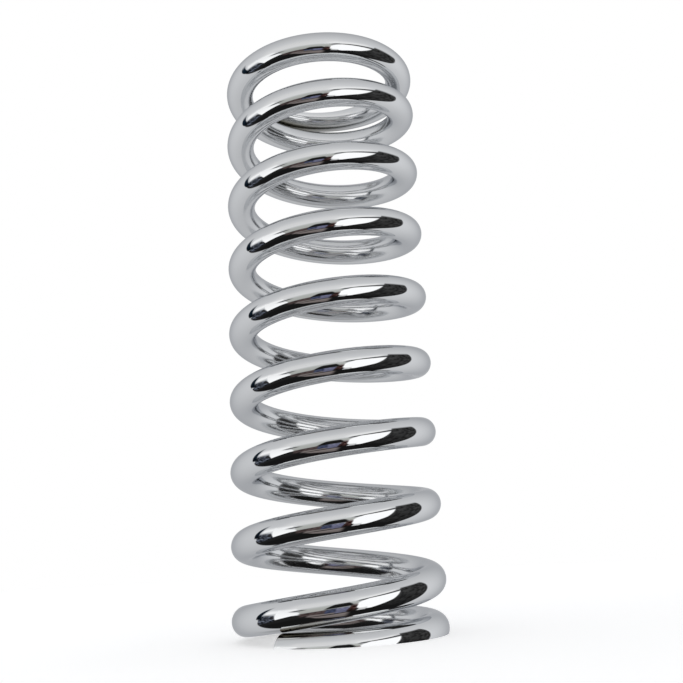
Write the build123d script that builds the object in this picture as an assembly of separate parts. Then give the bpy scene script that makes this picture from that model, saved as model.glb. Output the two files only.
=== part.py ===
from build123d import *
import math
import os

# A coilover spring: one round wire wound into a right-handed coil of one diameter.
# The last turn at each end closes onto its neighbour, is cut off square and ground flat.
# Millimetres, +Z up. The origin is on the coil's axis, at the lower ground face.

# Driving dimensions
inner_diameter = 63.5
wire_diameter = 12.1
free_length = 252.7
total_turns = 9.72

# Turns wound closed at each end, and the further turns over which the coil opens to its full pitch
lower_closed_turns = 0.77
lower_opening_turns = 0.26
upper_closed_turns = 0.57
upper_opening_turns = 0.84
closed_coil_clearance = 0.2

# What grinding leaves of the wire at its two tips, as a share of its diameter
lower_tip_share = 0.405
upper_tip_share = 0.48

# Where the lower tip is, in degrees from +X, and the bevel on the edges of the cut ends
lower_tip_angle = -125.0
tip_bevel = 0.5

# How finely the wire's path is set out
path_points_per_turn = 24

wire_radius = wire_diameter / 2
coil_radius = (inner_diameter + wire_diameter) / 2
lower_tip_height = wire_diameter * lower_tip_share - wire_radius
upper_tip_height = free_length - wire_diameter * upper_tip_share + wire_radius


def opened(turns, closed_turns, opening_turns):
    """Turns of full pitch gained this many turns from a tip, with a smooth run-up."""
    share = (turns - closed_turns) / opening_turns
    if share <= 0:
        return 0.0
    if share >= 1:
        return turns - closed_turns - opening_turns / 2
    return opening_turns * (share**3 - share**4 / 2)


# One turn in from each tip the wire has risen by its own diameter and the clearance. That sets
# each end's pitch from the open pitch, and the height between the tips sets the open pitch.
closed_rise = wire_diameter + closed_coil_clearance
lower_gain = opened(1.0, lower_closed_turns, lower_opening_turns)
upper_gain = opened(1.0, upper_closed_turns, upper_opening_turns)
lower_shut_turns = total_turns - opened(total_turns, lower_closed_turns, lower_opening_turns)
upper_shut_turns = total_turns - opened(total_turns, upper_closed_turns, upper_opening_turns)
lower_share = lower_shut_turns / (1 - lower_gain)
upper_share = upper_shut_turns / (1 - upper_gain)
tip_to_tip_height = upper_tip_height - lower_tip_height
end_rise = closed_rise * (lower_share + upper_share)
open_pitch = (tip_to_tip_height - end_rise) / (total_turns - lower_share - upper_share)
lower_pitch = (closed_rise - open_pitch * lower_gain) / (1 - lower_gain)
upper_pitch = (closed_rise - open_pitch * upper_gain) / (1 - upper_gain)


def height_at(turns):
    """Height of the wire's centre this many turns from the lower tip."""
    left = total_turns - turns
    lower_shut = turns - opened(turns, lower_closed_turns, lower_opening_turns)
    upper_shut = upper_shut_turns - left + opened(left, upper_closed_turns, upper_opening_turns)
    lost = (open_pitch - lower_pitch) * lower_shut + (open_pitch - upper_pitch) * upper_shut
    return lower_tip_height + open_pitch * turns - lost


def wire_path():
    steps = math.ceil(total_turns * path_points_per_turn)
    points = []
    for step in range(steps + 1):
        turns = total_turns * step / steps
        angle = math.radians(lower_tip_angle) + 2 * math.pi * turns
        points.append((coil_radius * math.cos(angle), coil_radius * math.sin(angle), height_at(turns)))
    return Spline(points)


def round_wire(path):
    """Sweeps the round section along the path, with its seam along the bore."""
    tip = path @ 0
    towards_axis = Vector(-tip.X, -tip.Y, 0)
    start = Plane(origin=tip, x_dir=towards_axis, z_dir=path % 0)
    return sweep(start * Circle(wire_radius), path=path, is_frenet=True)


def ground(coil):
    """Keeps what lies between the two ground faces."""
    above_floor = split(coil, bisect_by=Plane.XY, keep=Keep.TOP)
    return split(above_floor, bisect_by=Plane.XY.offset(free_length), keep=Keep.BOTTOM)


def edge_breaks(tip, inward, ground_height, into_wire):
    """Tools for one cut end: a ring round its curved edge and a bar along its straight edge."""
    reach = wire_radius + closed_coil_clearance / 2
    depth = tip_bevel + closed_coil_clearance / 2
    standing = (Align.CENTER, Align.CENTER, Align.MIN)
    cone = Cone(wire_radius - tip_bevel, reach, depth, align=standing)
    ring = Cylinder(reach, depth, align=standing) - cone
    corner = Vector(tip.X, tip.Y, ground_height)
    slope = Vector(inward.X, inward.Y, 0).normalized() + Vector(0, 0, into_wire)
    seat = Plane(origin=corner + slope * (tip_bevel / 2), x_dir=Vector(tip.X, tip.Y, 0), z_dir=-slope)
    bar = Box(2 * reach, 2 * tip_bevel, tip_bevel, align=standing)
    return [Plane(origin=tip, z_dir=inward) * ring, seat * bar]


path = wire_path()
lower_breaks = edge_breaks(path @ 0, path % 0, 0, 1)
upper_breaks = edge_breaks(path @ 1, -(path % 1), free_length, -1)
spring = ground(round_wire(path)) - lower_breaks - upper_breaks
spring.label = "spring_coil"
os.makedirs("parts", exist_ok=True)
export_step(spring, "parts/spring_coil.step")

full_volume = math.pi * wire_radius**2 * path.length
print("open pitch", open_pitch, "lower pitch", lower_pitch, "upper pitch", upper_pitch)
print("wire length", path.length, "section times length", full_volume, "volume", spring.volume)
print("valid", spring.is_valid, "solids", len(spring.solids()), "faces", len(spring.faces()))
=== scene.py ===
import math
import bpy
from mathutils import Matrix, Vector, noise


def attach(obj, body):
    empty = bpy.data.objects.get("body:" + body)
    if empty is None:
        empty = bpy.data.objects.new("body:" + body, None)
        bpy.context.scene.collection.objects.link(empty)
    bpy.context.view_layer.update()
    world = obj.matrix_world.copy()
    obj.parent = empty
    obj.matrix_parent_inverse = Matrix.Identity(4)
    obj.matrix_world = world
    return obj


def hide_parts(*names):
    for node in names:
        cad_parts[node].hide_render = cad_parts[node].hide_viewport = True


# A chromed coilover spring in a small studio tent. Metres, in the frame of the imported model.
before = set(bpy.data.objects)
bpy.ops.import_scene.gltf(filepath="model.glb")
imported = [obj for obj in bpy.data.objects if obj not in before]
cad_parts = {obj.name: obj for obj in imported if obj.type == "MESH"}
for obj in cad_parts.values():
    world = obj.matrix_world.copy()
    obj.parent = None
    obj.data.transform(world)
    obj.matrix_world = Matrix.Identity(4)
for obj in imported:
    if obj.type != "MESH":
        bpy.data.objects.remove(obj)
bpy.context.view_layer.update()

# The spring's driving sizes, as in the part's source
inner_diameter = 0.0635
wire_diameter = 0.0121
free_length = 0.2527
total_turns = 9.72
lower_closed_turns = 0.77
lower_opening_turns = 0.26
upper_closed_turns = 0.57
upper_opening_turns = 0.84
closed_coil_clearance = 0.0002
lower_tip_share = 0.405
upper_tip_share = 0.48
lower_tip_angle = math.radians(-125.0)
tip_bevel = 0.0005

# How finely the mesh follows the wire
rings_per_turn = 120
points_round_wire = 80
sharp_edge_angle = math.radians(20.0)
tangent_turns = 0.0005

# The chrome. Facing is 1 away from the coil's axis and -1 towards it. Scales are along the wire,
# per metre, and then outward and upward.
chrome_colour = (0.78, 0.79, 0.80, 1.0)
edge_tint = (0.68, 0.69, 0.71, 1.0)
outer_roughness = 0.03
inner_roughness = 0.13
outer_finish_facing = 0.6
inner_finish_facing = -0.2
roughness_variation = 0.02
smear_scale = (60.0, 3.0, 3.0)
smear_detail = 3.0
smear_levels = (0.4, 0.7)
wave_height = 0.000001
wave_scale = (70.0, 1.5, 1.5)
wave_detail = 0.0
draw_mark_height = 0.00000003
draw_mark_scale = (15.0, 8.0, 8.0)
draw_mark_detail = 2.0

# Painted shade on the end coils' faces towards their closed neighbours, in the crevice between the coils,
# which are duller there too. Facing is 1 straight up or down.
painted_shade_colour = (0.16, 0.145, 0.105, 1.0)
crevice_roughness = 0.05
crevice_shade_gap = 0.004
crevice_shade_tip_turns = 0.04
crevice_shade_facing = 0.55
crevice_shade_facing_span = 0.4

# The ground flats and the cut ends
ground_roughness = 0.3
grinding_mark_height = 0.000008
grinding_mark_scale = (90.0, 2500.0, 2500.0)
grinding_mark_detail = 3.0
grinding_mark_levels = (0.3, 0.7)

# The camera, fitted to the spring's outline in the photograph
image_width = 683
camera_place = Vector((0.0, -0.37042, 0.03182))
camera_yaw = 0.0259
camera_pitch = 0.2674
camera_roll = -0.0475
focal_pixels = 862.88
principal_x = 350.0
principal_y = 318.0
sensor_width = 36.0
nearest_seen = 0.01

# The tent round the studio. In its lights 1 is white, and its poles are straight above and below.
tent_radius = 2.5
tent_centre = Vector((0.0, 0.0, 0.1))
tent_rows = 48
tent_columns = 96
tent_front_light = 0.80
tent_left_light = 0.72
tent_right_light = 0.80
tent_back_light = 0.64
tent_pole_light = 0.58
tent_tint = (0.97, 0.98, 1.0)

# The cards in the tent. A patch of mottle is about so many degrees wide and so many metres high.
card_steps = 40
mottle_width = 3.0
mottle_height = 0.06
dark_ground_height = -0.5
beige_ground_height = -0.49

# Tints, as factors on a light's red, green and blue
neutral = (1.0, 1.0, 1.0)
navy = (0.4, 0.85, 1.4)
slate = (0.85, 0.95, 1.2)
lavender = (0.86, 0.88, 1.35)
blue = (0.72, 0.85, 1.5)
beige = (1.13, 0.97, 0.93)
brown = (1.22, 0.88, 0.86)
rust = (1.6, 0.8, 0.7)
olive = (1.0, 1.02, 0.97)

# The paper under the spring. Its lift is the light that only the camera sees.
paper_radius = 1.2
paper_corners = 96
paper_colour = (0.9, 0.9, 0.9, 1.0)
paper_roughness = 0.9
paper_lift = 0.45

wire_radius = wire_diameter / 2
coil_radius = (inner_diameter + wire_diameter) / 2
lower_tip_height = wire_diameter * lower_tip_share - wire_radius
upper_tip_height = free_length - wire_diameter * upper_tip_share + wire_radius


def opened(turns, closed_turns, opening_turns):
    """Turns of full pitch gained this many turns from a tip, with a smooth run-up."""
    share = (turns - closed_turns) / opening_turns
    if share <= 0:
        return 0.0
    if share >= 1:
        return turns - closed_turns - opening_turns / 2
    return opening_turns * (share**3 - share**4 / 2)


# The end pitches put each closed coil one diameter and the clearance from its neighbour, and the
# open pitch then follows from the height between the tips.
closed_rise = wire_diameter + closed_coil_clearance
lower_gain = opened(1.0, lower_closed_turns, lower_opening_turns)
upper_gain = opened(1.0, upper_closed_turns, upper_opening_turns)
lower_shut_turns = total_turns - opened(total_turns, lower_closed_turns, lower_opening_turns)
upper_shut_turns = total_turns - opened(total_turns, upper_closed_turns, upper_opening_turns)
lower_share = lower_shut_turns / (1 - lower_gain)
upper_share = upper_shut_turns / (1 - upper_gain)
tip_to_tip_height = upper_tip_height - lower_tip_height
end_rise = closed_rise * (lower_share + upper_share)
open_pitch = (tip_to_tip_height - end_rise) / (total_turns - lower_share - upper_share)
lower_pitch = (closed_rise - open_pitch * lower_gain) / (1 - lower_gain)
upper_pitch = (closed_rise - open_pitch * upper_gain) / (1 - upper_gain)
open_turn_length = math.hypot(2 * math.pi * coil_radius, open_pitch)


def height_at(turns):
    """Height of the wire's centre this many turns from the lower tip."""
    left = total_turns - turns
    lower_shut = turns - opened(turns, lower_closed_turns, lower_opening_turns)
    upper_shut = upper_shut_turns - left + opened(left, upper_closed_turns, upper_opening_turns)
    lost = (open_pitch - lower_pitch) * lower_shut + (open_pitch - upper_pitch) * upper_shut
    return lower_tip_height + open_pitch * turns - lost


def centre_at(turns):
    """The wire's centre this many turns from the lower tip."""
    angle = lower_tip_angle + 2 * math.pi * turns
    return Vector((coil_radius * math.cos(angle), coil_radius * math.sin(angle), height_at(turns)))


def section_axes(turns):
    """The outward and upward directions of the wire's section."""
    along = (centre_at(turns + tangent_turns) - centre_at(turns - tangent_turns)).normalized()
    angle = lower_tip_angle + 2 * math.pi * turns
    upward = Vector((math.cos(angle), math.sin(angle), 0.0)).cross(along).normalized()
    return along.cross(upward).normalized(), upward


def between(ends, share):
    """The value at this share of the way from the first end to the second."""
    return ends[0] + (ends[1] - ends[0]) * share


def smooth_step(share):
    """A share eased at 0 and 1, and held there beyond them."""
    share = min(max(share, 0.0), 1.0)
    return share * share * (3 - 2 * share)


def closeness(turns, other):
    """How nearly a turn touches its neighbour, from 0, well apart, to 1. 0 where there is none."""
    past_tip = min(other, total_turns - other)
    gap = abs(height_at(other) - height_at(turns)) - wire_diameter
    return smooth_step(past_tip / crevice_shade_tip_turns) * (1 - smooth_step(gap / crevice_shade_gap))


def hidden_sides(turns):
    """How much its neighbour hides the upper side of the lower end coil and the lower side of the upper."""
    hidden_above = closeness(turns, turns + 1) if turns < 1 else 0.0
    hidden_below = closeness(turns, turns - 1) if turns > total_turns - 1 else 0.0
    return hidden_above, hidden_below


def section(turns, inset, at_top):
    """One ring of points, their places on the wire, and whether a ground face cuts the ring.

    The ring starts and ends where the ground face cuts it. With an inset the ring is smaller and
    further from the ground face, as at the bevel of a cut end. A point's place is its length along
    the wire, how far it faces outward and upward, and how much a closed neighbour hides it.
    """
    outward, upward = section_axes(turns)
    centre = centre_at(turns)
    radius = wire_radius - inset
    side = -1.0 if at_top else 1.0
    flat_height = free_length if at_top else 0.0
    depth = (side * (centre.z - flat_height) - inset) / (radius * upward.z)
    removed = math.acos(max(depth, -1.0)) if depth < 1 else 0.0
    start = -side * math.pi / 2 + removed
    sweep = 2 * math.pi - 2 * removed
    hidden_above, hidden_below = hidden_sides(turns)
    points = []
    places = []
    for step in range(points_round_wire + 1):
        angle = start + sweep * step / points_round_wire
        out = math.cos(angle)
        up = math.sin(angle)
        # Faces towards a closed neighbour get painted shade, as much as the neighbour hides them.
        facing = smooth_step((abs(up) - crevice_shade_facing) / crevice_shade_facing_span)
        hidden = facing * (hidden_above if up > 0 else hidden_below)
        points.append(centre + (outward * out + upward * up) * radius)
        places.append((turns * open_turn_length, out, up, hidden))
    return points, places, removed > 0


def wire_stations():
    """Turns and inset of every ring, with the bevels of the two cut ends."""
    bevel_turns = tip_bevel / math.hypot(2 * math.pi * coil_radius, lower_pitch)
    steps = math.ceil(total_turns * rings_per_turn)
    inner = [(total_turns * step / steps, 0.0) for step in range(1, steps)]
    start = [(0.0, tip_bevel), (bevel_turns, 0.0)]
    return start + inner + [(total_turns - bevel_turns, 0.0), (total_turns, tip_bevel)]


def add_ring(vertices, points, cut):
    """Adds one ring's vertices. Where nothing is cut off, its last point is its first one."""
    first = len(vertices)
    vertices.extend(points if cut else points[:-1])
    indices = list(range(first, len(vertices)))
    return indices if cut else indices + [first]


def join_rings(faces, flats, ring, after):
    """Faces between two rings: round the wire, and across the flat where either is cut."""
    for step in range(points_round_wire):
        faces.append((ring[step], ring[step + 1], after[step + 1], after[step]))
    corners = []
    for corner in (ring[-1], ring[0], after[0], after[-1]):
        if corner not in corners:
            corners.append(corner)
    if len(corners) > 2:
        flats.append(tuple(corners))


def store_places(mesh, places):
    """Stores where each point is on the wire, and how much a closed neighbour hides it."""
    place = mesh.attributes.new("wire_place", "FLOAT_VECTOR", "POINT")
    for index, values in enumerate(places):
        place.data[index].vector = values[:3]
    # How much a closed neighbour hides each point, which sets the painted shade there.
    hidden = mesh.attributes.new("hidden", "FLOAT", "POINT")
    for index, values in enumerate(places):
        hidden.data[index].value = values[3]


def wire_mesh():
    """The ground coil, with its flats and cut ends in the second material."""
    vertices = []
    wire_places = []
    faces = []
    flats = []
    before = None
    at_top = False
    half = points_round_wire // 2
    for turns, inset in wire_stations():
        points, places, cut = section(turns, inset, at_top)
        ring = add_ring(vertices, points, cut)
        wire_places.extend(places if cut else places[:-1])
        if before is None:
            flats.append(tuple(reversed(ring)))
        else:
            join_rings(faces, flats, before, ring)
        before = ring
        if not at_top and turns > total_turns / 2:
            before = [ring[(step + half) % points_round_wire] for step in range(points_round_wire + 1)]
            at_top = True
    flats.append(tuple(before))
    mesh = bpy.data.meshes.new("coil_wire")
    mesh.from_pydata(vertices, [], faces + flats)
    for index in range(len(faces), len(faces) + len(flats)):
        mesh.polygons[index].material_index = 1
    store_places(mesh, wire_places)
    mesh.set_sharp_from_angle(angle=sharp_edge_angle)
    return mesh


def stored(tree, name):
    """The outputs that give what a mesh stores at its points under this name."""
    node = tree.nodes.new("ShaderNodeAttribute")
    node.attribute_name = name
    return node.outputs


def stretched_noise(tree, place, scale, detail):
    """Noise over a place, stretched as the scale along its three directions says."""
    mapping = tree.nodes.new("ShaderNodeMapping")
    mapping.inputs["Scale"].default_value = scale
    texture = tree.nodes.new("ShaderNodeTexNoise")
    texture.inputs["Scale"].default_value = 1.0
    texture.inputs["Detail"].default_value = detail
    tree.links.new(place, mapping.inputs["Vector"])
    tree.links.new(mapping.outputs[0], texture.inputs["Vector"])
    return texture.outputs["Fac"]


def ranged(tree, value, levels, results):
    """A smooth step from the first result to the second as the value goes between two levels."""
    node = tree.nodes.new("ShaderNodeMapRange")
    node.interpolation_type = "SMOOTHSTEP"
    node.inputs["From Min"].default_value = levels[0]
    node.inputs["From Max"].default_value = levels[1]
    node.inputs["To Min"].default_value = results[0]
    node.inputs["To Max"].default_value = results[1]
    tree.links.new(value, node.inputs["Value"])
    return node.outputs[0]


def added(tree, first, second):
    node = tree.nodes.new("ShaderNodeMath")
    node.operation = "ADD"
    tree.links.new(first, node.inputs[0])
    tree.links.new(second, node.inputs[1])
    return node.outputs[0]


def blended(tree, share, first_colour, second_colour):
    """A mix of two colours. Its sockets are found by type, as other types' sockets share their names."""
    node = tree.nodes.new("ShaderNodeMix")
    node.data_type = "RGBA"
    tree.links.new(share, node.inputs["Factor"])
    colours = [socket for socket in node.inputs if socket.type == "RGBA"]
    colours[0].default_value = first_colour
    colours[1].default_value = second_colour
    return [socket for socket in node.outputs if socket.type == "RGBA"][0]


def bumped(tree, height, distance, before=None):
    """The normal that a height gives, on top of another bump's where there is one before."""
    node = tree.nodes.new("ShaderNodeBump")
    node.inputs["Distance"].default_value = distance
    tree.links.new(height, node.inputs["Height"])
    if before is not None:
        tree.links.new(before, node.inputs["Normal"])
    return node.outputs[0]


def chrome(name):
    """A chrome material with no detail yet, and its shader."""
    material = bpy.data.materials.new(name)
    material.use_nodes = True
    shader = material.node_tree.nodes["Principled BSDF"]
    shader.inputs["Base Color"].default_value = chrome_colour
    shader.inputs["Specular Tint"].default_value = edge_tint
    shader.inputs["Metallic"].default_value = 1.0
    return material, shader


def wire_chrome():
    """Bright plate on drawn wire: brightest outside the coil, where the polishing wheel reached.

    On the end coils' faces towards their closed neighbours it carries painted shade, where shade falls in
    the
    crevice between the coils: its base colour turns dark brown there, and it is duller.
    """
    material, shader = chrome("chrome_wire")
    tree = material.node_tree
    place = stored(tree, "wire_place")["Vector"]
    hidden = stored(tree, "hidden")["Fac"]
    parts = tree.nodes.new("ShaderNodeSeparateXYZ")
    tree.links.new(place, parts.inputs[0])
    finish = ranged(tree, parts.outputs["Y"], (inner_finish_facing, outer_finish_facing),
                    (inner_roughness, outer_roughness))
    smears = stretched_noise(tree, place, smear_scale, smear_detail)
    variation = ranged(tree, smears, smear_levels, (0.0, roughness_variation))
    dull = ranged(tree, hidden, (0.0, 1.0), (0.0, crevice_roughness))
    tree.links.new(added(tree, added(tree, finish, variation), dull), shader.inputs["Roughness"])
    # Painted shade: the base colour turns dark brown where a closed neighbour hides the wire.
    painted_shade_base = blended(tree, hidden, chrome_colour, painted_shade_colour)
    tree.links.new(painted_shade_base, shader.inputs["Base Color"])
    waves = stretched_noise(tree, place, wave_scale, wave_detail)
    draw_marks = stretched_noise(tree, place, draw_mark_scale, draw_mark_detail)
    waved = bumped(tree, waves, wave_height)
    tree.links.new(bumped(tree, draw_marks, draw_mark_height, waved), shader.inputs["Normal"])
    return material


def ground_chrome():
    """The plate on the ground flats and the cut ends, with the wheel's marks left in it."""
    material, shader = chrome("ground_chrome")
    tree = material.node_tree
    place = tree.nodes.new("ShaderNodeTexCoord")
    marks = stretched_noise(tree, place.outputs["Object"], grinding_mark_scale, grinding_mark_detail)
    roughest = ground_roughness + roughness_variation
    dull = ranged(tree, marks, grinding_mark_levels, (ground_roughness, roughest))
    tree.links.new(dull, shader.inputs["Roughness"])
    tree.links.new(bumped(tree, marks, grinding_mark_height), shader.inputs["Normal"])
    return material


# The studio stands round the spring and isn't part of it. Its azimuths are in degrees, 0 in front
# of the spring and positive to its right, and its heights are in metres. Its surfaces were placed
# from where the spring in the photograph reflects something light or dark.


def around(azimuth, height, distance):
    """The point at an azimuth, a height and a distance from the spring's axis."""
    angle = math.radians(azimuth)
    return Vector((distance * math.sin(angle), -distance * math.cos(angle), height))


def glow_material():
    """One material for the whole studio: it shines as the glow of each surface says."""
    material = bpy.data.materials.new("studio_glow")
    material.use_nodes = True
    tree = material.node_tree
    tree.nodes.clear()
    glow = stored(tree, "glow")
    emission = tree.nodes.new("ShaderNodeEmission")
    clear = tree.nodes.new("ShaderNodeBsdfTransparent")
    mix = tree.nodes.new("ShaderNodeMixShader")
    output = tree.nodes.new("ShaderNodeOutputMaterial")
    tree.links.new(glow["Color"], emission.inputs["Color"])
    tree.links.new(glow["Alpha"], mix.inputs[0])
    tree.links.new(clear.outputs[0], mix.inputs[1])
    tree.links.new(emission.outputs[0], mix.inputs[2])
    tree.links.new(mix.outputs[0], output.inputs["Surface"])
    return material


def through(values, share):
    """A curve through the values at its start, middle and end."""
    start, middle, end = values
    rest = 1 - share
    return start * rest * (1 - 2 * share) + middle * 4 * share * rest - end * share * (1 - 2 * share)


def grid_faces(rows, columns):
    """The faces of a grid whose points are listed row by row."""
    faces = []
    for row in range(rows):
        for column in range(columns):
            corner = row * (columns + 1) + column
            faces.append((corner, corner + 1, corner + columns + 2, corner + columns + 1))
    return faces


def studio_surface(name, vertices, faces, glows):
    """A surface seen only in reflections. Each vertex has a colour of light and a cover."""
    mesh = bpy.data.meshes.new(name)
    mesh.from_pydata(vertices, [], faces)
    glow = mesh.attributes.new("glow", "FLOAT_COLOR", "POINT")
    for index, light in enumerate(glows):
        glow.data[index].color = light
    mesh.materials.append(studio_glow)
    surface = bpy.data.objects.new(name, mesh)
    bpy.context.scene.collection.objects.link(surface)
    surface.visible_camera = False


def soft_edges(across, up, sides, foot, head):
    """Cover of a card that fades in from its edges over the given shares of it."""
    cover = smooth_step(across / sides) * smooth_step((1 - across) / sides)
    return cover * smooth_step(up / foot) * smooth_step((1 - up) / head)


def card(name, distance, left, right, low, high, light, tint=neutral,
         sides=0.06, foot=0.06, head=0.1, mottle=0.0):
    """A curved card at one distance from the axis.

    left and right are the azimuths of its sides at the bottom, middle and top, and low and high the
    heights of its other edges at the left and right. light is its brightness at the bottom and top,
    and mottle is how strongly that varies from patch to patch, in a pattern that the distance sets.
    sides, foot and head are the shares of the card over which its edges fade out.
    """
    vertices = []
    glows = []
    for row in range(card_steps + 1):
        up = row / card_steps
        brightness = between(light, up)
        for column in range(card_steps + 1):
            across = column / card_steps
            azimuth = through(left, up) * (1 - across) + through(right, up) * across
            height = between((between(low, across), between(high, across)), up)
            vertices.append(around(azimuth, height, distance))
            patch = noise.noise(Vector((azimuth / mottle_width, height / mottle_height, distance)))
            glow = brightness * max(0.0, 1 + mottle * patch)
            cover = soft_edges(across, up, sides, foot, head)
            glows.append([glow * share for share in tint] + [cover])
    studio_surface(name, vertices, grid_faces(card_steps, card_steps), glows)


def level_card(name, height, near, far, light, tint=neutral, edges=0.04):
    """A flat level card. near and far are its left and right corners at the front and at the back."""
    vertices = []
    glows = []
    for row in range(card_steps + 1):
        up = row / card_steps
        brightness = between(light, up)
        for column in range(card_steps + 1):
            across = column / card_steps
            front = Vector(near[0]).lerp(Vector(near[1]), across)
            back = Vector(far[0]).lerp(Vector(far[1]), across)
            vertices.append(front.lerp(back, up).to_3d() + Vector((0.0, 0.0, height)))
            cover = soft_edges(across, up, edges, edges, edges)
            glows.append([brightness * share for share in tint] + [cover])
    studio_surface(name, vertices, grid_faces(card_steps, card_steps), glows)


def tent():
    """A closed shell of soft light, brightest in front and on the right, dimmest above and below."""
    vertices = []
    glows = []
    for row in range(tent_rows + 1):
        elevation = math.pi * (row / tent_rows - 0.5)
        for column in range(tent_columns + 1):
            azimuth = 2 * math.pi * column / tent_columns
            forward = math.cos(elevation) * math.cos(azimuth)
            sideways = math.cos(elevation) * math.sin(azimuth)
            facing = Vector((sideways, -forward, math.sin(elevation)))
            vertices.append(facing * tent_radius + tent_centre)
            side_light = between((tent_left_light, tent_right_light), (1 + sideways) / 2)
            facing_light = tent_front_light if forward > 0 else tent_back_light
            light = side_light + (facing_light - side_light) * forward**2
            light += (tent_pole_light - side_light) * math.sin(elevation)**2
            glows.append([light * share for share in tent_tint] + [1.0])
    studio_surface("tent", vertices, grid_faces(tent_rows, tent_columns), glows)


def dark_room():
    """The dark room in front of the tent, with its floor, its curtain and the camera."""
    level_card("dark_ground", dark_ground_height, ((-1.6, -1.2), (1.6, -1.2)), ((-1.6, 0.16), (1.6, 0.16)),
               (0.01, 0.01), edges=0.01)
    card("front_low", 0.60, (-104, -102, -95), (106, 103, 99), (-0.6, -0.6), (-0.20, -0.20), (0.01, 0.02),
         sides=0.01, foot=0.02, head=0.1)
    card("curtain", 0.54, (50, 56, 68), (106, 102, 98), (-0.6, -0.6), (0.46, 0.42), (0.01, 0.045),
         sides=0.04, foot=0.02, mottle=1.2)
    card("camera", 0.35, (-17, -13, -5), (15, 13, 6), (-0.045, -0.045), (0.11, 0.11), (0.005, 0.02),
         sides=0.12, foot=0.15, head=0.25)


def behind():
    """The floor behind the spring, dimmer than the tent."""
    card("back_floor", 0.62, (130, 130, 130), (230, 230, 230), (-1.4, -1.4), (-0.38, -0.38), (0.28, 0.46),
         tent_tint, sides=0.25, foot=0.05, head=0.4)


def left_side():
    """What the left ends of the front strands show, from the dark bar at the far left to the white patch."""
    card("left_glow", 0.585, (-87, -86, -86), (-44, -44, -50), (0.06, 0.08), (0.36, 0.30), (1.15, 1.0),
         sides=0.1, foot=0.3, head=0.6)
    card("navy_bar", 0.56, (-94, -94, -94), (-86, -86, -88), (-0.08, -0.06), (0.46, 0.46), (0.0, 0.04),
         navy, sides=0.15, head=0.4)
    card("slate_wall", 0.58, (-93, -91, -88), (-68, -68, -70), (-0.18, -0.15), (0.16, 0.06), (0.03, 0.11),
         slate, sides=0.08, foot=0.1, head=0.4, mottle=2.5)
    card("grey_sill", 0.578, (-96, -94, -93), (-70, -70, -70), (-0.32, -0.30), (-0.15, -0.12), (0.05, 0.10),
         slate, foot=0.2, head=0.1, mottle=2.5)
    card("dark_stand", 0.555, (-75, -74, -76), (-69, -69, -71), (-0.17, -0.15), (0.02, 0.04), (0.02, 0.04),
         sides=0.3, foot=0.2, head=0.4)
    card("white_patch", 0.57, (-70, -69, -73), (-40, -40, -44), (-0.23, -0.10), (0.32, 0.0), (1.25, 1.05),
         sides=0.04, foot=0.05, head=0.2)
    card("hem_left", 0.565, (-56, -55, -54), (-32, -32, -34), (0.05, 0.04), (0.14, 0.13), (0.06, 0.06),
         olive, sides=0.4, foot=0.3, head=0.4)


def middle():
    """What the middle of the front strands shows: the pale band, and the cases and strips below it."""
    card("front_glow", 0.62, (-70, -70, -70), (30, 35, 40), (0.14, 0.16), (0.70, 0.75), (0.84, 0.74),
         sides=0.2, foot=0.15, head=0.6)
    card("grey_front", 0.58, (-44, -43, -43), (20, 20, 20), (-0.16, -0.16), (0.22, 0.24), (0.44, 0.56),
         olive, sides=0.04, foot=0.1, head=0.4)
    card("brown_case", 0.53, (-44, -43, -42), (-8, -8, -10), (-0.30, -0.30), (-0.07, -0.06), (0.06, 0.07),
         brown, sides=0.12, head=0.2, mottle=0.8)
    card("beige_strip", 0.52, (-38, -36, -34), (14, 14, 12), (-0.44, -0.48), (-0.23, -0.38), (0.15, 0.22),
         beige, sides=0.12, foot=0.3, head=0.2)
    card("blue_case", 0.515, (-15, -15, -14), (0, 0, 0), (-0.34, -0.34), (-0.05, -0.04), (0.08, 0.07),
         blue, sides=0.2, head=0.2, mottle=0.6)
    card("lavender_case", 0.51, (-4, -4, -4), (14, 13, 12), (-0.44, -0.44), (-0.05, -0.04), (0.15, 0.2),
         lavender, sides=0.2, head=0.2, mottle=0.6)
    card("brown_edge", 0.505, (9, 10, 10), (22, 20, 18), (-0.40, -0.40), (0.04, 0.07), (0.02, 0.06),
         rust, sides=0.2, head=0.3, mottle=2.0)
    level_card("beige_ground", beige_ground_height, ((-0.34, -0.50), (0.17, -0.50)),
               ((-0.18, -0.36), (0.10, -0.12)), (0.24, 0.14), beige, edges=0.15)


def right_side():
    """The white card with its foot, left of the curtain, and the glow and the dark hem behind it."""
    card("right_glow", 0.60, (6, 8, 10), (60, 66, 74), (0.16, 0.28), (0.46, 0.54), (1.0, 0.9),
         sides=0.2, foot=0.1, head=0.6)
    card("white_card", 0.55, (38, 15, 28), (40, 57, 71), (-0.45, -0.45), (0.18, 0.23), (1.25, 1.25),
         sides=0.04, foot=0.05, head=0.03)
    card("pale_foot", 0.545, (24, 23, 22), (37, 35, 33), (-0.56, -0.56), (-0.25, -0.25), (0.55, 0.85),
         sides=0.15, foot=0.15, head=0.4)
    card("hem_right", 0.555, (14, 14, 14), (72, 72, 72), (0.08, 0.25), (0.20, 0.37), (0.05, 0.05),
         sides=0.1, foot=0.4, head=0.35)


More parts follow.
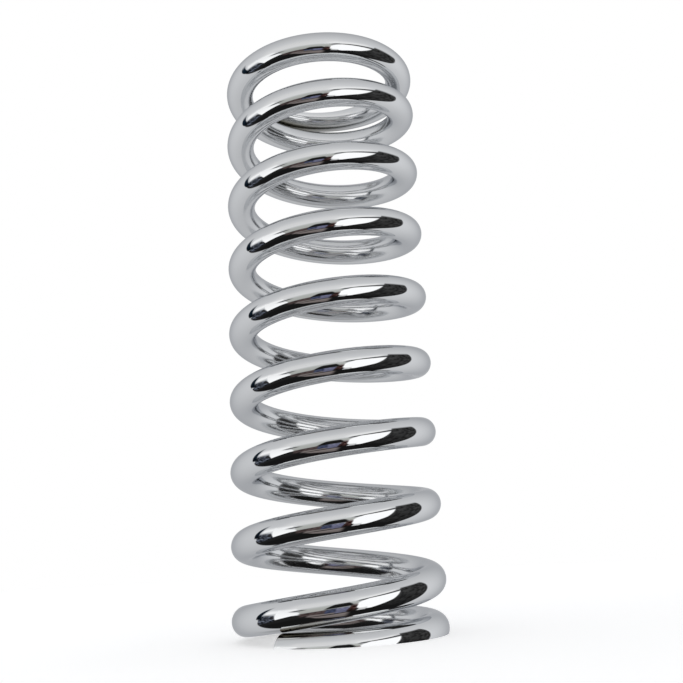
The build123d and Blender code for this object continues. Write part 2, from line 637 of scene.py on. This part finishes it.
def floor():
    """White paper, lifted to white for the camera alone, that keeps the spring's shadow."""
    bpy.ops.mesh.primitive_circle_add(vertices=paper_corners, radius=paper_radius, fill_type="NGON")
    ground = bpy.context.object
    ground.name = "floor"
    material = bpy.data.materials.new("floor_paper")
    material.use_nodes = True
    nodes = material.node_tree.nodes
    links = material.node_tree.links
    shader = nodes["Principled BSDF"]
    shader.inputs["Base Color"].default_value = paper_colour
    shader.inputs["Roughness"].default_value = paper_roughness
    light_path = nodes.new("ShaderNodeLightPath")
    glow = nodes.new("ShaderNodeEmission")
    fill = nodes.new("ShaderNodeMath")
    fill.operation = "MULTIPLY"
    fill.inputs[1].default_value = paper_lift
    both = nodes.new("ShaderNodeAddShader")
    links.new(light_path.outputs["Is Camera Ray"], fill.inputs[0])
    links.new(fill.outputs[0], glow.inputs["Strength"])
    links.new(shader.outputs[0], both.inputs[0])
    links.new(glow.outputs[0], both.inputs[1])
    links.new(both.outputs[0], nodes["Material Output"].inputs["Surface"])
    ground.data.materials.append(material)
    ground.visible_glossy = False


def white_world():
    """The plain white background that the camera sees."""
    world = bpy.data.worlds.new("white_backdrop")
    world.use_nodes = True
    background = world.node_tree.nodes["Background"]
    background.inputs["Color"].default_value = (1.0, 1.0, 1.0, 1.0)
    background.inputs["Strength"].default_value = 1.0
    bpy.context.scene.world = world


def photo_camera():
    """A camera with the place, direction and lens that the photograph was taken with."""
    forward = Vector((math.sin(camera_yaw) * math.cos(camera_pitch),
                      math.cos(camera_yaw) * math.cos(camera_pitch), math.sin(camera_pitch)))
    level = Vector((math.cos(camera_yaw), -math.sin(camera_yaw), 0.0))
    upright = level.cross(forward)
    right = level * math.cos(camera_roll) + upright * math.sin(camera_roll)
    up = upright * math.cos(camera_roll) - level * math.sin(camera_roll)
    data = bpy.data.cameras.new("photo_camera")
    data.sensor_width = sensor_width
    data.lens = focal_pixels / image_width * sensor_width
    data.shift_x = 0.5 - principal_x / image_width
    data.shift_y = principal_y / image_width - 0.5
    data.clip_start = nearest_seen
    camera = bpy.data.objects.new("photo_camera", data)
    camera.matrix_world = Matrix((
        (right.x, up.x, -forward.x, camera_place.x),
        (right.y, up.y, -forward.y, camera_place.y),
        (right.z, up.z, -forward.z, camera_place.z),
        (0.0, 0.0, 0.0, 1.0)))
    bpy.context.scene.collection.objects.link(camera)
    bpy.context.scene.camera = camera


coil = bpy.data.objects.new("coil_wire", wire_mesh())
bpy.context.scene.collection.objects.link(coil)
coil.data.materials.append(wire_chrome())
coil.data.materials.append(ground_chrome())
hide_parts("spring_coil")
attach(coil, "root")

studio_glow = glow_material()
tent()
dark_room()
behind()
left_side()
middle()
right_side()
floor()
white_world()
photo_camera()

scene = bpy.context.scene
scene.view_settings.view_transform = "Standard"
